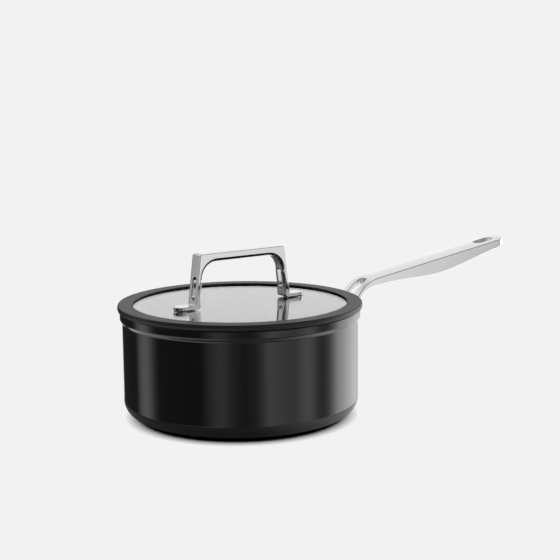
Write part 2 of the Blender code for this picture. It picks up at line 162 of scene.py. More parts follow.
# Studio. Bands are (degrees round from the camera's side, light level) and the ramps below
# them are (place, level), where height runs from 0 straight down to 1 straight up.
BACKDROP = 0.8879
FULL_LIGHT = 3.0
LIGHT_BANDS = (
    (-180, 1.15), (-171, 1.15), (-163, 0.03), (-120, 0.05), (-114, 0.55), (-108, 0.98),
    (-102, 1.10), (-97, 0.80), (-92, 0.36), (-86, 0.07), (-38, 0.05), (-31, 0.30), (-25, 0.50),
    (-18, 0.62), (-9, 0.28), (3, 0.11), (14, 0.22), (19, 0.45), (26, 1.08), (33, 0.95),
    (52, 0.68), (57, 0.90), (65, 1.28), (72, 1.05), (80, 0.40), (88, 0.34), (95, 0.80),
    (108, 2.70), (124, 2.80), (143, 2.00), (162, 0.85), (172, 1.15),
)
FLOOR_BANDS = (
    (-180, 1.00), (-30, 1.10), (-12, 0.30), (60, 0.30), (85, 0.90), (110, 1.60), (160, 1.00),
)
BACK_WALL = ((0.0, 1.0), (0.27, 1.0), (0.35, 0.0), (0.90, 0.0), (0.93, 1.0))
BACK_CEILING = ((0.86, 0.31), (0.92, 0.05), (0.95, 0.05), (0.985, 0.30))
CEILING = ((0.95, 0.05), (0.985, 0.30))
BELOW = ((0.265, 1.0), (0.31, 0.0))
ABOVE = ((0.62, 0.0), (0.66, 1.0))
# Painted floor shadow under the pan, seen only in mirror rays: its size, height, the fade at its
# edge, and its painted reflection, lighter across to the right.
SHADE_RADIUS = 117.0 * MM
SHADE_HEIGHT = 0.05 * MM
SHADE_EDGE = (80.0 * MM, 100.0 * MM)
SHADE_ACROSS = (15.0 * MM, 90.0 * MM)
SHADE_LEVELS = (0.16, 0.95)
FLOOR_HALF = 12.0
# Painted contact shadow on the floor: occlusion reach and samples, the openness stretched from
# black to full brightness, and a softening power.
CONTACT_REACH = 8.0 * MM
CONTACT_SAMPLES = 48
CONTACT_SPAN = (0.22, 0.92)
CONTACT_POWER = 0.5


def arc(center, radius, start, end, steps):
    """Points on an arc, angles in degrees from the first axis towards the second."""
    points = []
    for i in range(steps + 1):
        angle = math.radians(start + (end - start) * i / steps)
        points.append((center[0] + radius * math.cos(angle), center[1] + radius * math.sin(angle)))
    return points


def ease(low, high, t):
    return low + (high - low) * t * t * (3.0 - 2.0 * t)


def filleted(corners, steps=6):
    """A closed line through (x, y, radius) corners, each one rounded with its radius."""
    points = []
    for i, (x, y, radius) in enumerate(corners):
        here = Vector((x, y))
        if radius == 0.0:
            points.append((x, y))
            continue
        back = (Vector(corners[i - 1][:2]) - here).normalized()
        on = (Vector(corners[(i + 1) % len(corners)][:2]) - here).normalized()
        half = back.angle(on) / 2.0
        center = here + (back + on).normalized() * (radius / math.sin(half))
        start = here + back * (radius / math.tan(half)) - center
        turn = math.copysign(math.pi - 2.0 * half, start.cross(here - center))
        for k in range(steps + 1):
            swing = start.copy()
            swing.rotate(Matrix.Rotation(turn * k / steps, 2))
            points.append(tuple(center + swing))
    return points


def new_object(name, verts, faces):
    """A mesh object with its normals turned outwards."""
    mesh = bpy.data.meshes.new(name)
    mesh.from_pydata([tuple(v) for v in verts], [], faces)
    solid = bmesh.new()
    solid.from_mesh(mesh)
    bmesh.ops.recalc_face_normals(solid, faces=solid.faces)
    solid.to_mesh(mesh)
    solid.free()
    obj = bpy.data.objects.new(name, mesh)
    bpy.context.scene.collection.objects.link(obj)
    return obj


def finish_shading(obj, degrees=38.0):
    """Smooth shading that keeps large faces flat up to their rounded edges."""
    obj.data.shade_smooth()
    obj.data.set_sharp_from_angle(angle=math.radians(degrees))
    weighted = obj.modifiers.new("Weighted normals", "WEIGHTED_NORMAL")
    weighted.keep_sharp = True
    return obj


def turned(name, profile, closed=False, sides=SIDES):
    """A profile of (radius, height) points turned about the Z axis."""
    verts = []
    rows = []
    for radius, height in profile:
        start = len(verts)
        if radius < 1e-9:
            verts.append((0.0, 0.0, height))
            rows.append([start] * sides)
            continue
        for i in range(sides):
            angle = 2.0 * math.pi * i / sides
            verts.append((radius * math.cos(angle), radius * math.sin(angle), height))
        rows.append(list(range(start, start + sides)))
    pairs = list(zip(rows, rows[1:]))
    if closed:
        pairs.append((rows[-1], rows[0]))
    faces = []
    for low, high in pairs:
        for i in range(sides):
            j = (i + 1) % sides
            corners = (low[i], low[j], high[j], high[i])
            face = tuple(dict.fromkeys(corners))
            if len(face) > 2:
                faces.append(face)
    return new_object(name, verts, faces)


def cut(obj, tool, operation="DIFFERENCE"):
    """Apply a Boolean with another object, which is then removed."""
    bpy.context.view_layer.update()
    boolean = obj.modifiers.new(operation.title(), "BOOLEAN")
    boolean.operation = operation
    boolean.solver = "EXACT"
    boolean.object = tool
    depsgraph = bpy.context.evaluated_depsgraph_get()
    mesh = bpy.data.meshes.new_from_object(obj.evaluated_get(depsgraph))
    obj.modifiers.clear()
    obj.data = mesh
    bpy.data.objects.remove(tool, do_unlink=True)
    return obj


def moved(obj, matrix):
    """Put an object's mesh in place and keep the object at the origin."""
    obj.data.transform(matrix)
    return obj


# Plates: a flat shape with holes, mapped onto a bent surface, with every edge rounded

def inset_ring(loop, inset):
    """The loop moved towards its left-hand side, by one distance for each point."""
    points = np.array(loop)
    along = np.roll(points, -1, axis=0) - points
    along /= np.linalg.norm(along, axis=1)[:, None]
    left = np.stack((-along[:, 1], along[:, 0]), axis=1)
    before = np.roll(left, 1, axis=0)
    spread = 1.0 + (left * before).sum(axis=1)
    return points + (left + before) * (inset / spread)[:, None]


def inside(points, loops):
    """Which points lie inside the outline and outside its holes."""
    odd = np.zeros(len(points), bool)
    for loop in loops:
        ends = np.roll(loop, -1, axis=0)
        for (x0, y0), (x1, y1) in zip(loop, ends):
            crosses = (y0 > points[:, 1]) != (y1 > points[:, 1])
            if y0 == y1:
                continue
            reach = x0 + (points[:, 1] - y0) * (x1 - x0) / (y1 - y0)
            odd ^= crosses & (points[:, 0] < reach)
    return odd


def fill(rings, starts, points, stations, rows, clear):
    """Triangles between the innermost rings, over a grid of stations and rows."""
    grid = np.array([(s, y) for s in stations for y in rows])
    border = np.vstack(rings)
    keep = inside(grid, rings)
    for i in np.flatnonzero(keep):
        keep[i] = np.linalg.norm(border - grid[i], axis=1).min() > clear
    grid = grid[keep]
    index = []
    edges = []
    for ring, start in zip(rings, starts):
        base = len(index)
        count = len(ring)
        index += range(start, start + count)
        edges += [(base + i, base + (i + 1) % count) for i in range(count)]
    index += range(len(points), len(points) + len(grid))
    points += [(s, y, 0.0) for s, y in grid]
    flat = np.vstack((border, grid)) / MM
    result = geometry.delaunay_2d_cdt([Vector(p) for p in flat], edges, [], 0, 1e-6)
    origin = [ids[0] for ids in result[3]]
    faces = [[origin[i] for i in face] for face in result[2]]
    middles = np.array([flat[face].mean(axis=0) for face in faces])
    wanted = inside(middles, [ring / MM for ring in rings])
    return [[index[i] for i in face] for face, keep_it in zip(faces, wanted) if keep_it]


def sheet(loops, edge, stations, rows, clear):
    """One face of a plate as (s, y, drop) points: rounded along its loops, flat between."""
    points = []
    faces = []
    rims = []
    last = []
    starts = []
    for number, loop in enumerate(loops):
        radius = np.array([edge(number, s) for s, y in loop])
        rings = []
        for k in range(EDGE_STEPS + 1):
            angle = math.pi / 2.0 * k / EDGE_STEPS
            flat = inset_ring(loop, radius * (1.0 - math.cos(angle)))
            drop = radius * (1.0 - math.sin(angle))
            start = len(points)
            points += [(s, y, d) for (s, y), d in zip(flat, drop)]
            rings.append(range(start, start + len(loop)))
        for low, high in zip(rings, rings[1:]):
            for i in range(len(loop)):
                j = (i + 1) % len(loop)
                faces.append((low[i], low[j], high[j], high[i]))
        rims.append(rings[0])
        last.append(flat)
        starts.append(rings[-1][0])
    faces += fill(last, starts, points, stations, rows, clear)
    return points, faces, rims


def plate(name, top_loops, under_loops, top, under, edges, stations, rows, clear=0.5 * MM):
    """A solid between two bent sheets. top() and under() place a point (s, y, drop)."""
    verts = []
    faces = []
    rims = []
    for loops, place, edge in ((top_loops, top, edges[0]), (under_loops, under, edges[1])):
        points, sheet_faces, sheet_rims = sheet(loops, edge, stations, rows, clear)
        start = len(verts)
        verts += [place(*point) for point in points]
        faces += [tuple(start + i for i in face) for face in sheet_faces]
        rims.append([[start + i for i in rim] for rim in sheet_rims])
    for upper, lower in zip(*rims):
        for i in range(len(upper)):
            j = (i + 1) % len(upper)
            faces.append((upper[i], upper[j], lower[j], lower[i]))
    return new_object(name, verts, faces)


def run(start, end, fixed, stations):
    """Points of a straight side at the stations that lie between its two ends."""
    low, high = sorted((start, end))
    places = [s for s in stations if low + 0.2 * MM < s < high - 0.2 * MM]
    places = [low] + places + [high]
    if start > end:
        places.reverse()
    return [(s, fixed) for s in places]


def slot_loop(middle, length, width, stations, steps=16):
    """A round-ended slot along the plate, clockwise, so that the plate is on its left."""
    half = width / 2.0
    reach = length / 2.0 - half
    loop = run(middle - reach, middle + reach, half, stations)
    loop += arc((middle + reach, 0.0), half, 90.0, -90.0, steps)[1:-1]
    loop += run(middle + reach, middle - reach, -half, stations)
    loop += arc((middle - reach, 0.0), half, -90.0, -270.0, steps)[1:-1]
    return loop


def circle_loop(center, radius, steps=32):
    return arc(center, radius, 0.0, -360.0, steps)[:-1]


# Pan

def shoulder(lower_radius, upper_radius, rising, steps=12):
    """The soft step between the straight wall and the wider collar above it."""
    points = []
    for i in range(steps + 1):
        t = i / steps
        height = SHOULDER_BOTTOM + (SHOULDER_TOP - SHOULDER_BOTTOM) * t
        points.append((ease(lower_radius, upper_radius, t), height))
    return points if rising else points[::-1]


def make_pan():
    inner_corner = CORNER_RADIUS - WALL
    plate_seat = PLATE_RADIUS + GAP
    points = [(0.0, FLOOR_TOP), (INNER_RADIUS * 0.4, FLOOR_TOP)]
    inner_center = (INNER_RADIUS - inner_corner, FLOOR_TOP + inner_corner)
    points += arc(inner_center, inner_corner, -90.0, 0.0, 20)
    points += shoulder(INNER_RADIUS, INNER_RADIUS + COLLAR_STEP, rising=True)
    points += arc((COLLAR_RADIUS - WALL / 2.0, PAN_TOP - WALL / 2.0), WALL / 2.0, 180.0, 0.0, 12)
    points += shoulder(BODY_RADIUS, COLLAR_RADIUS, rising=False)
    corner_center = (BODY_RADIUS - CORNER_RADIUS, PAN_UNDERSIDE + CORNER_RADIUS)
    points += arc(corner_center, CORNER_RADIUS, 0.0, -90.0, 24)
    points += [(plate_seat + 0.4 * MM, PAN_UNDERSIDE), (plate_seat, PAN_UNDERSIDE + 0.4 * MM)]
    points += [(plate_seat, PLATE_THICKNESS + GAP), (0.0, PLATE_THICKNESS + GAP)]
    return finish_shading(turned("pan_bowl", points))


def make_base_disc():
    edge = 0.25 * MM
    corners = arc((PLATE_RADIUS - edge, edge), edge, 0.0, -90.0, 5)
    upper = arc((PLATE_RADIUS - edge, PLATE_THICKNESS - edge), edge, 90.0, 0.0, 5)
    halfway = PLATE_RADIUS * 0.5
    top = [(0.0, PLATE_THICKNESS), (halfway, PLATE_THICKNESS)]
    underside = [(halfway, 0.0), (0.0, 0.0)]
    return finish_shading(turned("base_disc", top + upper + corners + underside))


def stud_place(side):
    """Frame of a stud: its local Z points straight out from the pan's wall."""
    turn = Matrix.Rotation(side * STUD_ANGLE, 4, "Z")
    lay_down = Matrix.Rotation(math.radians(90.0), 4, "Y")
    return turn @ Matrix.Translation((0.0, 0.0, FLANGE_Z)) @ lay_down


def dome(radius, height, base, steps=12):
    """A low dome above height `base`, from its crown out to its edge."""
    points = []
    for i in range(steps + 1):
        angle = math.radians(90.0 * i / steps)
        points.append((radius * math.sin(angle), base + height * math.cos(angle)))
    return points


def upside_down(points, level):
    return [(radius, 2.0 * level - z) for radius, z in reversed(points)]


def make_stud(number, side):
    seat = FLANGE_OUTER + GAP
    points = dome(STUD_HEAD_RADIUS, STUD_HEAD_HEIGHT, seat)
    points += [(STUD_RADIUS, seat), (STUD_RADIUS, FLANGE_INNER), (0.0, FLANGE_INNER)]
    stud = turned(f"stud_dome_{number}", points, sides=48)
    return finish_shading(moved(stud, stud_place(side)))


# Long handle

def handle_thickness(x):
    """Depth of the long handle below its top face at distance x from the pan's axis."""
    stations = [(place * MM, depth * MM) for place, depth in THICKNESS_AT]
    if x <= stations[0][0]:
        return stations[0][1]
    for (x0, depth0), (x1, depth1) in zip(stations, stations[1:]):
        if x <= x1:
            return ease(depth0, depth1, (x - x0) / (x1 - x0))
    return stations[-1][1]


def handle_line():
    """Top face of the long handle as rows of (s, x, z, slope), s measured along it."""
    rows = []
    bend_center = BEND_END + BEND_RADIUS * Vector((math.sin(HANDLE_RISE), -math.cos(HANDLE_RISE)))
    bend_steps = 40
    for i in range(bend_steps + 1):
        slope = ROOT_SLOPE + (HANDLE_RISE - ROOT_SLOPE) * i / bend_steps
        x = bend_center.x - BEND_RADIUS * math.sin(slope)
        z = bend_center.y + BEND_RADIUS * math.cos(slope)
        rows.append((x, z, slope))
    first_x, first_z, slope = rows[0]
    straight = []
    for i in range(6):
        x = ROOT_X + (first_x - ROOT_X) * i / 6
        straight.append((x, first_z - (first_x - x) * math.tan(slope), slope))
    rows = straight + rows
    end_x = BEND_END.x
    for i in range(1, 71):
        x = end_x + (HANDLE_TIP - end_x) * i / 70
        rows.append((x, BEND_END.y + (x - end_x) * math.tan(HANDLE_RISE), HANDLE_RISE))
    table = []
    s = 0.0
    for i, (x, z, slope) in enumerate(rows):
        if i:
            s += math.hypot(x - rows[i - 1][0], z - rows[i - 1][1])
        table.append((s, x, z, slope))
    return np.array(table)


def handle_loops(table, fork_shift, tip_shift, stations):
    """Outline of the bar, with its fork, and the hanging slot, in (s, y)."""
    half = HANDLE_WIDTH / 2.0
    slit = FORK_WIDTH / 2.0
    tip = table[-1, 0] + tip_shift
    tip_middle = tip - TIP_PLAN_RADIUS
    fork_middle = np.interp(FORK_END, table[:, 1], table[:, 0]) + fork_shift - slit
    outline = run(0.0, tip_middle, -half, stations)
    outline += arc((tip_middle, -half + TIP_PLAN_RADIUS), TIP_PLAN_RADIUS, -90.0, 0.0, 20)[1:]
    outline += arc((tip_middle, half - TIP_PLAN_RADIUS), TIP_PLAN_RADIUS, 0.0, 90.0, 20)[:-1]
    outline += run(tip_middle, 0.0, half, stations)
    outline += run(0.0, fork_middle, slit, stations)
    outline += arc((fork_middle, 0.0), slit, 90.0, -90.0, 24)[1:-1]
    outline += run(fork_middle, 0.0, -slit, stations)
    hole_middle = np.interp(HOLE_MIDDLE, table[:, 1], table[:, 0])
    return [outline, slot_loop(hole_middle, HOLE_LENGTH, HOLE_WIDTH, stations, steps=24)]


def make_bar():
    table = handle_line()
    stations = table[:, 0]
    half = HANDLE_WIDTH / 2.0
    square_end = 8.0 * MM

    def at(s, y, depth_from_top):
        x, z, slope = (np.interp(s, stations, table[:, k]) for k in (1, 2, 3))
        turn = min(1.0, max(0.0, s / square_end))
        down = Vector((math.sin(slope), -math.cos(slope))) * turn
        down += Vector((0.0, -1.0 / math.cos(slope))) * (1.0 - turn)
        return (x + down.x * depth_from_top, y, z + down.y * depth_from_top)

    def top(s, y, drop):
        return at(s, y, drop - CROWN * (1.0 - (y / half) ** 2))

    def under(s, y, drop):
        x = np.interp(s, stations, table[:, 1])
        return at(s, y, handle_thickness(x) - drop)

    def top_edge(number, s):
        return TOP_ROUNDING

    def under_edge(number, s):
        x = np.interp(s, stations, table[:, 1])
        if number:
            return HOLE_UNDER_ROUNDING
        rounding = min(UNDER_ROUNDING, 0.3 * handle_thickness(x))
        share = min(1.0, max(0.0, (x - TIP_START) / (HANDLE_TIP - TIP_START)))
        return ease(rounding, TIP_ROUNDING, share)

    tip_depth = handle_thickness(HANDLE_TIP)
    rows = [half * k / 7.0 for k in range(-6, 7)]
    return plate(
        "handle_bar",
        handle_loops(table, 0.0, -TIP_SET_BACK, stations),
        handle_loops(table, FORK_UNDERCUT, -tip_depth * math.tan(HANDLE_RISE), stations),
        top,
        under,
        (top_edge, under_edge),
        stations[1:-1],
        rows,
        clear=0.7 * MM,
    )


def make_flange():
    """Curved pad on the pan's wall, drilled for the two studs."""
    half_arc = FLANGE_OUTER * math.asin(FLANGE_HALF_WIDTH / FLANGE_OUTER)
    corners = ((1, 1, 0.0), (-1, 1, 90.0), (-1, -1, 180.0), (1, -1, 270.0))
    outline = []
    for sx, sy, start in corners:
        center = (sx * (FLANGE_HALF_HEIGHT - FLANGE_CORNER), sy * (half_arc - FLANGE_CORNER))
        outline += arc(center, FLANGE_CORNER, start, start + 90.0, 14)
    stud_y = STUD_ANGLE * FLANGE_OUTER
    holes = [circle_loop((0.0, side * stud_y), STUD_RADIUS + GAP) for side in (-1, 1)]

    def wrapped(radius, s, y):
        angle = y / FLANGE_OUTER
        return (radius * math.cos(angle), radius * math.sin(angle), FLANGE_Z + s)

    def outer_edge(number, s):
        return FLANGE_EDGE if number == 0 else FLANGE_FINE_EDGE

    return plate(
        "flange",
        [outline] + holes,
        [outline] + holes,
        lambda s, y, drop: wrapped(FLANGE_OUTER - drop, s, y),
        lambda s, y, drop: wrapped(FLANGE_INNER + drop, s, y),
        (outer_edge, lambda number, s: FLANGE_FINE_EDGE),
        np.linspace(-FLANGE_HALF_HEIGHT, FLANGE_HALF_HEIGHT, 9),
        np.linspace(-half_arc, half_arc, 33),
        clear=0.6 * MM,
    )


def make_long_handle():
    handle = make_bar()
    cut(handle, make_flange(), "UNION")
    handle.name = "handle_casting"
    return finish_shading(handle)


# Lid handle

def leg_x(z):
    """Outer face of a leg: it leans outwards from the bridge down to the foot."""
    return BRIDGE_HALF + (BRIDGE_TOP - z) * math.tan(LEAN)


def along_line(points, count):
    """The polyline sampled at equal steps."""
    line = np.array(points)
    steps = np.linalg.norm(np.diff(line, axis=0), axis=1)
    travel = np.concatenate(([0.0], np.cumsum(steps)))
    places = np.linspace(0.0, travel[-1], count + 1)
    return [(np.interp(p, travel, line[:, 0]), np.interp(p, travel, line[:, 1])) for p in places]


def half_strap():
    """Pairs of outer and inner points of the strap, from its middle to the tip of its foot."""
    lean = math.degrees(LEAN)
    high = BRIDGE_TOP - BAR_THICKNESS - INNER_BEND
    bend_center = (leg_x(high) - LEG_THICKNESS - INNER_BEND, high)
    low = FOOT_BOTTOM + FOOT_BEND
    low_center = (leg_x(low) - LEG_THICKNESS + FOOT_BEND, low)
    fillet_center = (leg_x(FOOT_TOP) + FOOT_FILLET, FOOT_TOP + FOOT_FILLET)
    leg_start = high - (INNER_BEND + LEG_THICKNESS) * math.sin(LEAN)
    corner = [(bend_center[0], BRIDGE_TOP)]
    corner += arc((BRIDGE_HALF - TOP_EDGE, BRIDGE_TOP - TOP_EDGE), TOP_EDGE, 90.0, 5.0, 10)
    corner += [(leg_x(leg_start), leg_start)]
    fillet = arc(fillet_center, FOOT_FILLET, 180.0 + lean, 270.0, 10)
    bend = arc(low_center, FOOT_BEND, 180.0 - lean, 270.0, 10)
    inner_corner = arc(bend_center, INNER_BEND, 90.0, -lean, 60)
    leg_inner = inner_corner[-1]
    straight = 50.0 * MM
    tip = FOOT_HALF + FOOT_REACH
    underside = BRIDGE_TOP - BAR_THICKNESS
    sections = (
        ([(0.0, BRIDGE_TOP), corner[0]], [(0.0, underside), (bend_center[0], underside)], 10),
        (corner, inner_corner, 60),
        ([corner[-1], fillet[0]], [leg_inner, bend[0]], 16),
        (fillet, bend, 10),
        ([fillet[-1], (straight, FOOT_TOP)], [bend[-1], (straight, FOOT_BOTTOM)], 4),
        ([(straight, FOOT_TOP), (tip, FOOT_TOP)], [(straight, FOOT_BOTTOM), (tip, FOOT_BOTTOM)], 8),
    )
    pairs = []
    for outer, inner, count in sections:
        joined = list(zip(along_line(outer, count), along_line(inner, count)))
        pairs += joined[1:] if pairs else joined
    return pairs


def make_lid_handle():
    right = half_strap()
    left = [((-o[0], o[1]), (-i[0], i[1])) for o, i in reversed(right[1:])]
    pairs = left + right
    outer = np.array([o for o, i in pairs])
    inner = np.array([i for o, i in pairs])
    steps = np.linalg.norm(np.diff(outer, axis=0), axis=1)
    stations = np.concatenate(([0.0], np.cumsum(steps)))
    stations -= stations[-1] / 2.0
    half = STRAP_WIDTH / 2.0
    end = stations[-1] - half

    def between(s, y, drop, start, goal):
        a = Vector([np.interp(s, stations, start[:, k]) for k in (0, 1)])
        b = Vector([np.interp(s, stations, goal[:, k]) for k in (0, 1)])
        point = a + (b - a).normalized() * drop
        return (point.x, y, point.y)

    def under_edge(number, s):
        z = np.interp(s, stations, outer[:, 1])
        share = min(1.0, max(0.0, (z - FOOT_TOP) / STRAP_EDGE_FADE))
        return STRAP_EDGE + (STRAP_UNDER_EDGE - STRAP_EDGE) * share if number == 0 else STRAP_EDGE

    outline = run(-end, end, -half, stations)
    outline += arc((end, 0.0), half, -90.0, 90.0, 28)[1:-1]
    outline += run(end, -end, half, stations)
    outline += arc((-end, 0.0), half, 90.0, 270.0, 28)[1:-1]
    middle_z = FOOT_TOP + (LEG_SLOT_LOW + LEG_SLOT_HIGH) / 2.0
    beyond = outer[:, 0] > BRIDGE_HALF + 0.3 * MM
    leg_s = np.interp(-middle_z, -outer[beyond, 1], stations[beyond])
    length = LEG_SLOT_HIGH - LEG_SLOT_LOW
    loops = [outline]
    loops += [slot_loop(side * leg_s, length, LEG_SLOT_WIDTH, stations) for side in (-1, 1)]
    handle = plate(
        "lid_bridge",
        loops,
        loops,
        lambda s, y, drop: between(s, y, drop, outer, inner),
        lambda s, y, drop: between(s, y, drop, inner, outer),
        (lambda number, s: STRAP_EDGE, under_edge),
        stations[1:-1],
        [half * k / 5.0 for k in range(-4, 5)],
        clear=0.4 * MM,
    )
    for side in (-1, 1):
        radius = SCREW_RADIUS + GAP
        top = FOOT_BOTTOM + TAPPED_DEPTH
        low = FOOT_BOTTOM - MM
        profile = [(0.0, low), (radius, low), (radius, top), (0.0, top)]
        hole = turned("tapped_hole", profile, sides=48)
        cut(handle, moved(hole, Matrix.Translation((side * SCREW_X, 0.0, 0.0))))
    return finish_shading(handle)


# Lid

def make_glass():
    edge = 0.8 * MM
    corners = [
        (0.0, GLASS_TOP, 0.0),
        (GLASS_RADIUS, GLASS_TOP, edge),
        (GLASS_RADIUS, GLASS_BOTTOM, edge),
        (0.0, GLASS_BOTTOM, 0.0),
    ]
    glass = turned("glass_disc", filleted(corners, steps=8))
    for side in (-1, 1):
        radius = BUSH_RADIUS + GAP
        ends = (GLASS_BOTTOM - MM, GLASS_TOP + MM)
        profile = [(0.0, ends[0]), (radius, ends[0]), (radius, ends[1]), (0.0, ends[1])]
        hole = turned("glass_hole", profile, sides=64)
        cut(glass, moved(hole, Matrix.Translation((side * SCREW_X, 0.0, 0.0))))
    return finish_shading(glass)


def make_rim():
    """Silicone ring: a lip over the glass, a rounded side, and a plug inside the pan."""
    edge = 0.7 * MM
    fine = 0.12 * MM
    groove_radius = GLASS_RADIUS + GAP
    middle = (RIM_TOP + RIM_UNDERSIDE) / 2.0
    reach = (RIM_TOP - RIM_UNDERSIDE) / 2.0 - edge
    side = []
    for i in range(9):
        t = 1.0 - i / 4.0
        side.append((RIM_RADIUS + RIM_BULGE * (1.0 - t * t), middle + reach * t, 0.0))
    corners = [(RIM_OPENING, RIM_TOP, 0.3 * MM), (RIM_RADIUS, RIM_TOP, edge)]
    corners += side[1:-1]
    corners += [
        (RIM_RADIUS, RIM_UNDERSIDE, edge),
        (PLUG_RADIUS, RIM_UNDERSIDE, fine),
        (PLUG_RADIUS, PLUG_BOTTOM, 0.9 * MM),
        (PLUG_INNER_RADIUS, PLUG_BOTTOM, 0.4 * MM),
        (PLUG_INNER_RADIUS, GLASS_BOTTOM - GAP, fine),
        (groove_radius, GLASS_BOTTOM - GAP, fine),
        (groove_radius, GLASS_TOP + GAP, fine),
        (RIM_OPENING, GLASS_TOP + GAP, fine),
    ]
    return finish_shading(turned("silicone_rim", filleted(corners), closed=True))


def make_foot_pad(word, side):
    """Thin pad between a foot and the glass, set in a little from the foot's edge."""
    inset = 0.3 * MM
    edge = 0.08 * MM
    inner_end = FOOT_HALF - 1.5 * MM
    outer_end = FOOT_HALF + FOOT_REACH - inset
    half = STRAP_WIDTH / 2.0 - inset
    corners = arc((outer_end - half, 0.0), half, -90.0, 90.0, 28)
    corners += arc((inner_end + half, 0.0), half, 90.0, 270.0, 28)
    loops = [corners, circle_loop((SCREW_X, 0.0), SCREW_RADIUS + GAP)]
    top = PAD_BOTTOM + PAD_THICKNESS
    pad = plate(
        f"foot_pad_{word}",
        loops,
        loops,
        lambda s, y, drop: (side * s, y, top - drop),
        lambda s, y, drop: (side * s, y, PAD_BOTTOM + drop),
        (lambda number, s: edge, lambda number, s: edge),
        np.linspace(inner_end, outer_end, 9),
        np.linspace(-half, half, 7),
    )
    return finish_shading(pad)


def fixing_ring(name, side, outer, top, bottom):
    """A ring round the screw: a bush or a washer."""
    inner = SCREW_RADIUS + GAP
    edge = 0.2 * MM
    corners = [(outer, top, edge), (outer, bottom, edge), (inner, bottom, edge), (inner, top, edge)]
    piece = turned(name, filleted(corners, steps=4), closed=True, sides=64)
    return finish_shading(moved(piece, Matrix.Translation((side * SCREW_X, 0.0, 0.0))))


def make_screw(word, side):
    """Dome-headed screw with a cross recess in its head."""
    washer_bottom = GLASS_BOTTOM - GAP - WASHER_THICKNESS
    seat = washer_bottom - GAP
    top = FOOT_BOTTOM + TAPPED_DEPTH - GAP
    tip = 0.4 * MM
    points = [(0.0, top), (SCREW_RADIUS - tip, top), (SCREW_RADIUS, top - tip)]
    points += [(SCREW_RADIUS, seat), (SCREW_HEAD_RADIUS - 0.2 * MM, seat)]
    points += upside_down(dome(SCREW_HEAD_RADIUS, SCREW_HEAD_HEIGHT, seat), seat)
    screw = turned(f"screw_{word}", points, sides=64)
    floor = seat - SCREW_HEAD_HEIGHT + RECESS_DEPTH
    for half_x, half_y in ((RECESS_REACH, RECESS_HALF), (RECESS_HALF, RECESS_REACH)):
        loop = [(half_x, -half_y), (half_x, half_y), (-half_x, half_y), (-half_x, -half_y)]
        verts = [(x, y, z) for z in (floor, floor - 4.0 * MM) for x, y in loop]
        faces = [(0, 1, 2, 3), (4, 5, 6, 7)]
        faces += [(i, (i + 1) % 4, (i + 1) % 4 + 4, i + 4) for i in range(4)]
        cut(screw, new_object("recess", verts, faces))
    return finish_shading(moved(screw, Matrix.Translation((side * SCREW_X, 0.0, 0.0))))


# Materials

class Nodes:
    """Small helper to build a node tree."""

    def __init__(self, tree):
        self.tree = tree

    def add(self, kind, **values):
        node = self.tree.nodes.new(kind)
        for key, value in values.items():
            setattr(node, key, value)
        return node

    def link(self, source, target):
        self.tree.links.new(source, target)


def new_material(name):
    material = bpy.data.materials.new(name)
    material.use_nodes = True
    nodes = Nodes(material.node_tree)
    shader = material.node_tree.nodes["Principled BSDF"]
    return material, nodes, shader


def noise(nodes, stretch, detail=3.0, scale=1.0):
    """Noise over the object's own coordinates, with a different scale on each axis."""
    coordinates = nodes.add("ShaderNodeTexCoord")
    mapping = nodes.add("ShaderNodeMapping")
    mapping.inputs["Scale"].default_value = stretch
    texture = nodes.add("ShaderNodeTexNoise")
    texture.inputs["Scale"].default_value = scale
    texture.inputs["Detail"].default_value = detail
    nodes.link(coordinates.outputs["Object"], mapping.inputs["Vector"])
    nodes.link(mapping.outputs["Vector"], texture.inputs["Vector"])
    return texture.outputs["Fac"]


def stretched(nodes, value, source, target=(0.0, 1.0)):
    """The value, with the source range stretched over the target range."""
    node = nodes.add("ShaderNodeMapRange")
    sockets = ("From Min", "From Max", "To Min", "To Max")
    for socket, level in zip(sockets, (*source, *target)):
        node.inputs[socket].default_value = level
    nodes.link(value, node.inputs["Value"])
    return node.outputs["Result"]


def ranged(nodes, value, low, high):
    """Noise, which is mostly between 0.3 and 0.7, spread from low to high."""
    return stretched(nodes, value, (0.3, 0.7), (low, high))


def grey(level):
    return (level, level, level)


def tinted(nodes, shader, value, dark, light):
    """Base colour that goes from dark to light with the value."""
    mix = nodes.add("ShaderNodeMix", data_type="RGBA")
    mix.inputs[6].default_value = (*dark, 1.0)
    mix.inputs[7].default_value = (*light, 1.0)
    nodes.link(value, mix.inputs["Factor"])
    nodes.link(mix.outputs[2], shader.inputs["Base Color"])


def bumped(nodes, shader, height, strength, distance):
    bump = nodes.add("ShaderNodeBump")
    bump.inputs["Strength"].default_value = strength
    bump.inputs["Distance"].default_value = distance
    nodes.link(height, bump.inputs["Height"])
    nodes.link(bump.outputs["Normal"], shader.inputs["Normal"])


def steel(name, light, roughness, grain, strength):
    """Stainless steel with a fine grain, its scale given for each axis."""
    material, nodes, shader = new_material(name)
    shader.inputs["Metallic"].default_value = 1.0
    dark = tuple(0.93 * c for c in light)
    cloud = noise(nodes, (30.0, 30.0, 30.0), 4.0)
    tinted(nodes, shader, cloud, dark, light)
    lines = noise(nodes, grain, 5.0)
    nodes.link(ranged(nodes, lines, *roughness), shader.inputs["Roughness"])
    bumped(nodes, shader, lines, strength, 0.02 * MM)
    return material


def coating():
    """Satin black coating with a fine orange-peel surface."""
    material, nodes, shader = new_material("satin_black_coating")
    cloud = noise(nodes, (14.0, 14.0, 14.0), 4.0)
    tinted(nodes, shader, cloud, (0.0046, 0.0043, 0.0036), (0.0056, 0.0052, 0.0045))
    peel = noise(nodes, (900.0, 900.0, 900.0), 3.0)
    nodes.link(ranged(nodes, peel, 0.10, 0.14), shader.inputs["Roughness"])
    shader.inputs["IOR"].default_value = 1.5
    bumped(nodes, shader, peel, 0.05, 0.02 * MM)
    return material


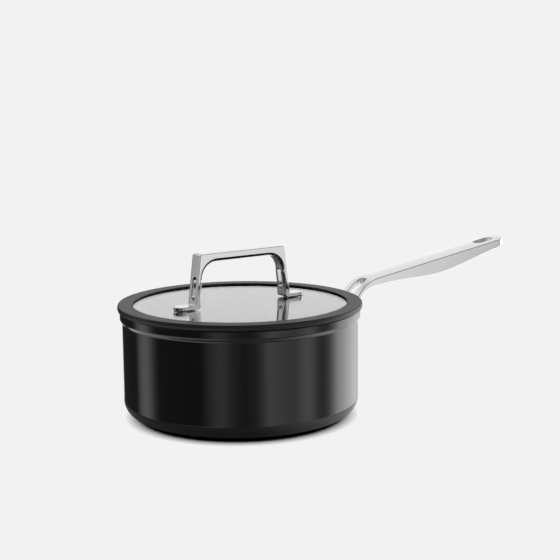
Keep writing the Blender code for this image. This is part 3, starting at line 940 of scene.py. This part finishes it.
def silicone():
    material, nodes, shader = new_material("matt_silicone")
    cloud = noise(nodes, (60.0, 60.0, 60.0), 4.0)
    tinted(nodes, shader, cloud, grey(0.006), grey(0.009))
    grain = noise(nodes, (2200.0, 2200.0, 2200.0), 2.0)
    nodes.link(ranged(nodes, grain, 0.42, 0.52), shader.inputs["Roughness"])
    shader.inputs["IOR"].default_value = 1.41
    bumped(nodes, shader, grain, 0.08, 0.03 * MM)
    return material


def rubber():
    material, nodes, shader = new_material("dark_rubber_moulded")
    grain = noise(nodes, (1500.0, 1500.0, 1500.0), 3.0)
    tinted(nodes, shader, grain, grey(0.008), grey(0.014))
    nodes.link(ranged(nodes, grain, 0.6, 0.75), shader.inputs["Roughness"])
    bumped(nodes, shader, grain, 0.1, 0.03 * MM)
    return material


def clear_glass():
    material, nodes, shader = new_material("tempered_glass")
    shader.inputs["Transmission Weight"].default_value = 1.0
    shader.inputs["IOR"].default_value = 1.52
    smear = noise(nodes, (18.0, 18.0, 18.0), 3.0)
    tinted(nodes, shader, smear, (0.95, 0.965, 0.96), (0.97, 0.98, 0.975))
    nodes.link(ranged(nodes, smear, 0.0, 0.02), shader.inputs["Roughness"])
    return material


def turned_steel():
    """Steel turned on a lathe: fine rings about the pan's axis."""
    material, nodes, shader = new_material("ring_brushed_steel")
    shader.inputs["Metallic"].default_value = 1.0
    coordinates = nodes.add("ShaderNodeTexCoord")
    split = nodes.add("ShaderNodeSeparateXYZ")
    flat = nodes.add("ShaderNodeCombineXYZ")
    length = nodes.add("ShaderNodeVectorMath", operation="LENGTH")
    rings = nodes.add("ShaderNodeTexNoise", noise_dimensions="1D")
    rings.inputs["Scale"].default_value = 3000.0
    rings.inputs["Detail"].default_value = 4.0
    nodes.link(coordinates.outputs["Object"], split.inputs["Vector"])
    nodes.link(split.outputs["X"], flat.inputs["X"])
    nodes.link(split.outputs["Y"], flat.inputs["Y"])
    nodes.link(flat.outputs["Vector"], length.inputs[0])
    nodes.link(length.outputs["Value"], rings.inputs["W"])
    tinted(nodes, shader, rings.outputs["Fac"], grey(0.42), grey(0.56))
    nodes.link(ranged(nodes, rings.outputs["Fac"], 0.22, 0.4), shader.inputs["Roughness"])
    bumped(nodes, shader, rings.outputs["Fac"], 0.15, 0.02 * MM)
    return material


# Studio

def make_camera():
    across = Vector((math.cos(CAMERA_HEADING), -math.sin(CAMERA_HEADING), 0.0))
    level = Vector((math.sin(CAMERA_HEADING), math.cos(CAMERA_HEADING), 0.0))
    forward = level * math.cos(CAMERA_DOWN) - Vector((0.0, 0.0, math.sin(CAMERA_DOWN)))
    up = across.cross(forward)
    tilted = across * math.cos(CAMERA_ROLL) + up * math.sin(CAMERA_ROLL)
    up = up * math.cos(CAMERA_ROLL) - across * math.sin(CAMERA_ROLL)
    data = bpy.data.cameras.new("camera")
    data.lens = CAMERA_LENS
    data.sensor_width = 36.0
    data.clip_start = 0.05
    data.clip_end = 60.0
    camera = bpy.data.objects.new("camera", data)
    turn = Matrix((tilted, up, -forward)).transposed().to_4x4()
    camera.matrix_world = Matrix.Translation(CAMERA_PLACE) @ turn
    bpy.context.scene.collection.objects.link(camera)
    bpy.context.scene.camera = camera


def facing():
    """Compass angle, from +X towards +Y, of the way from the pan to the camera."""
    return math.atan2(CAMERA_PLACE[1], CAMERA_PLACE[0])


def make_world():
    """Light panels round the pan, a glow from the floor, a dim ceiling and a plain backdrop.

    Levels change with the compass angle, and with the height: 0 straight down, 1 straight up.
    """
    world = bpy.data.worlds.new("studio")
    world.use_nodes = True
    bpy.context.scene.world = world
    tree = world.node_tree
    tree.nodes.clear()
    nodes = Nodes(tree)
    coordinates = nodes.add("ShaderNodeTexCoord")
    split = nodes.add("ShaderNodeSeparateXYZ")
    nodes.link(coordinates.outputs["Generated"], split.inputs["Vector"])
    angle = nodes.add("ShaderNodeMath", operation="ARCTAN2")
    nodes.link(split.outputs["Y"], angle.inputs[0])
    nodes.link(split.outputs["X"], angle.inputs[1])
    share = nodes.add("ShaderNodeMath", operation="MULTIPLY_ADD")
    share.inputs[1].default_value = 0.5 / math.pi
    share.inputs[2].default_value = 1.5 - facing() / (2.0 * math.pi)
    nodes.link(angle.outputs[0], share.inputs[0])
    wrapped = nodes.add("ShaderNodeMath", operation="FRACT")
    nodes.link(share.outputs[0], wrapped.inputs[0])
    height = stretched(nodes, split.outputs["Z"], (-1.0, 1.0))
    panels = level_ramp(nodes, wrapped.outputs[0], around(LIGHT_BANDS))
    glow = level_ramp(nodes, wrapped.outputs[0], around(FLOOR_BANDS))
    ceiling = level_ramp(nodes, height, CEILING)
    back_ceiling = level_ramp(nodes, height, BACK_CEILING)
    below = level_ramp(nodes, height, BELOW)
    behind = level_ramp(nodes, wrapped.outputs[0], BACK_WALL)
    above = level_ramp(nodes, height, ABOVE)
    lit = blended(nodes, below, panels, glow)
    lit = blended(nodes, above, lit, blended(nodes, behind, ceiling, back_ceiling))
    lights = nodes.add("ShaderNodeBackground")
    lights.inputs["Strength"].default_value = FULL_LIGHT
    nodes.link(lit, lights.inputs["Color"])
    plain = nodes.add("ShaderNodeBackground")
    plain.inputs["Color"].default_value = (BACKDROP, BACKDROP, BACKDROP, 1.0)
    path = nodes.add("ShaderNodeLightPath")
    choice = nodes.add("ShaderNodeMixShader")
    nodes.link(path.outputs["Is Camera Ray"], choice.inputs["Fac"])
    nodes.link(lights.outputs[0], choice.inputs[1])
    nodes.link(plain.outputs[0], choice.inputs[2])
    output = nodes.add("ShaderNodeOutputWorld")
    nodes.link(choice.outputs[0], output.inputs["Surface"])


def around(bands):
    """Light levels by compass angle as places on a ramp."""
    return [((degrees + 180.0) / 360.0, level / FULL_LIGHT) for degrees, level in bands]


def level_ramp(nodes, value, stops):
    """A ramp of grey stops, (place, level), driven by the value."""
    node = nodes.add("ShaderNodeValToRGB")
    ramp = node.color_ramp
    while len(ramp.elements) > 1:
        ramp.elements.remove(ramp.elements[-1])
    ramp.elements[0].position = stops[0][0]
    for place, level in stops[1:]:
        ramp.elements.new(place)
    for element, (place, level) in zip(ramp.elements, stops):
        element.color = (level, level, level, 1.0)
    nodes.link(value, node.inputs["Fac"])
    return node.outputs["Color"]


def blended(nodes, share, first, second):
    """Mix from the first light to the second."""
    mix = nodes.add("ShaderNodeMix", data_type="RGBA")
    nodes.link(share, mix.inputs["Factor"])
    nodes.link(first, mix.inputs[6])
    nodes.link(second, mix.inputs[7])
    return mix.outputs[2]


def make_floor():
    """A pale floor that glows evenly, with a painted contact shadow that darkens it close to what
    stands on it.
    """
    signs = ((-1, -1), (1, -1), (1, 1), (-1, 1))
    corners = [(x * FLOOR_HALF, y * FLOOR_HALF, 0.0) for x, y in signs]
    floor = new_object("floor", corners, [(0, 1, 2, 3)])
    material = bpy.data.materials.new("pale_floor")
    material.use_nodes = True
    tree = material.node_tree
    tree.nodes.clear()
    nodes = Nodes(tree)
    painted_contact_shadow = nodes.add("ShaderNodeAmbientOcclusion")
    painted_contact_shadow.samples = CONTACT_SAMPLES
    painted_contact_shadow.inputs["Distance"].default_value = CONTACT_REACH
    painted_contact_shadow.inputs["Color"].default_value = (1.0, 1.0, 1.0, 1.0)
    deeper = stretched(nodes, painted_contact_shadow.outputs["AO"], CONTACT_SPAN)
    glow = nodes.add("ShaderNodeEmission")
    glow.inputs["Strength"].default_value = BACKDROP
    softer = nodes.add("ShaderNodeMath", operation="POWER")
    softer.inputs[1].default_value = CONTACT_POWER
    nodes.link(deeper, softer.inputs[0])
    nodes.link(softer.outputs[0], glow.inputs["Color"])
    output = nodes.add("ShaderNodeOutputMaterial")
    nodes.link(glow.outputs[0], output.inputs["Surface"])
    floor.data.materials.append(material)
    floor.visible_glossy = False


def make_shade():
    """Painted shadow of the floor under the pan: a dark sheet seen only in mirror rays, with a
    painted reflection that gets lighter towards the right.
    """
    shade = turned("shade", [(0.0, SHADE_HEIGHT), (SHADE_RADIUS, SHADE_HEIGHT)], sides=96)
    material = bpy.data.materials.new("painted_floor_shadow")
    material.use_nodes = True
    tree = material.node_tree
    tree.nodes.clear()
    nodes = Nodes(tree)
    coordinates = nodes.add("ShaderNodeTexCoord")
    across = nodes.add("ShaderNodeVectorMath", operation="DOT_PRODUCT")
    across.inputs[1].default_value = (math.cos(CAMERA_HEADING), -math.sin(CAMERA_HEADING), 0.0)
    nodes.link(coordinates.outputs["Object"], across.inputs[0])
    level = stretched(nodes, across.outputs["Value"], SHADE_ACROSS, SHADE_LEVELS)
    away = nodes.add("ShaderNodeVectorMath", operation="LENGTH")
    nodes.link(coordinates.outputs["Object"], away.inputs[0])
    rim = stretched(nodes, away.outputs["Value"], SHADE_EDGE)
    dark = nodes.add("ShaderNodeEmission")
    nodes.link(rim, dark.inputs["Color"])
    nodes.link(level, dark.inputs["Strength"])
    output = nodes.add("ShaderNodeOutputMaterial")
    nodes.link(dark.outputs[0], output.inputs["Surface"])
    shade.data.materials.append(material)
    shade.visible_camera = False
    shade.visible_diffuse = False
    shade.visible_transmission = False
    shade.visible_shadow = False


def dress(obj, material, body, slot, *nodes):
    """Give a piece its material, say which body it rides on, and hide the CAD parts it stands for.
    """
    obj.data.materials.clear()
    obj.data.materials.append(material)
    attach(obj, body)
    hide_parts(*nodes)


def main():
    cast = steel("satin_cast_steel", grey(0.80), (0.20, 0.26), (25.0, 900.0, 900.0), 0.04)
    polished = steel("polished_strap_steel", grey(0.57), (0.06, 0.10), (30.0, 1200.0, 30.0), 0.02)
    fixing = steel("bright_fixing_steel", grey(0.68), (0.2, 0.3), (400.0, 400.0, 400.0), 0.05)
    black = coating()
    seal = silicone()
    soft = rubber()
    dress(make_pan(), black, "pan", "black_coating", "pot_body")
    dress(make_base_disc(), turned_steel(), "pan", "base_steel", "base_plate")
    dress(make_long_handle(), cast, "pan", "polished_steel", "long_handle")
    for number, side in ((1, -1), (2, 1)):
        dress(make_stud(number, side), fixing, "pan", "polished_steel", f"handle_stud_{number}")
    dress(make_glass(), clear_glass(), "lid", "lid_glass", "lid_glass")
    dress(make_rim(), seal, "lid", "silicone", "lid_rim_seal")
    dress(make_lid_handle(), polished, "lid", "polished_steel", "lid_handle")
    washer_top = GLASS_BOTTOM - GAP
    washer_bottom = washer_top - WASHER_THICKNESS
    for word, side in (("left", -1), ("right", 1)):
        pad = make_foot_pad(word, side)
        dress(pad, soft, "lid", "dark_rubber", f"foot_gasket_{word}")
        bush = fixing_ring(f"bush_{word}", side, BUSH_RADIUS, GLASS_TOP, GLASS_BOTTOM)
        dress(bush, soft, "lid", "dark_rubber", f"glass_bush_{word}")
        washer = fixing_ring(f"washer_{word}", side, WASHER_RADIUS, washer_top, washer_bottom)
        dress(washer, fixing, "lid", "polished_steel", f"lid_washer_{word}")
        dress(make_screw(word, side), fixing, "lid", "polished_steel", f"lid_screw_{word}")
    make_camera()
    make_world()
    make_floor()
    make_shade()
    bpy.context.scene.view_settings.view_transform = "Standard"


main()
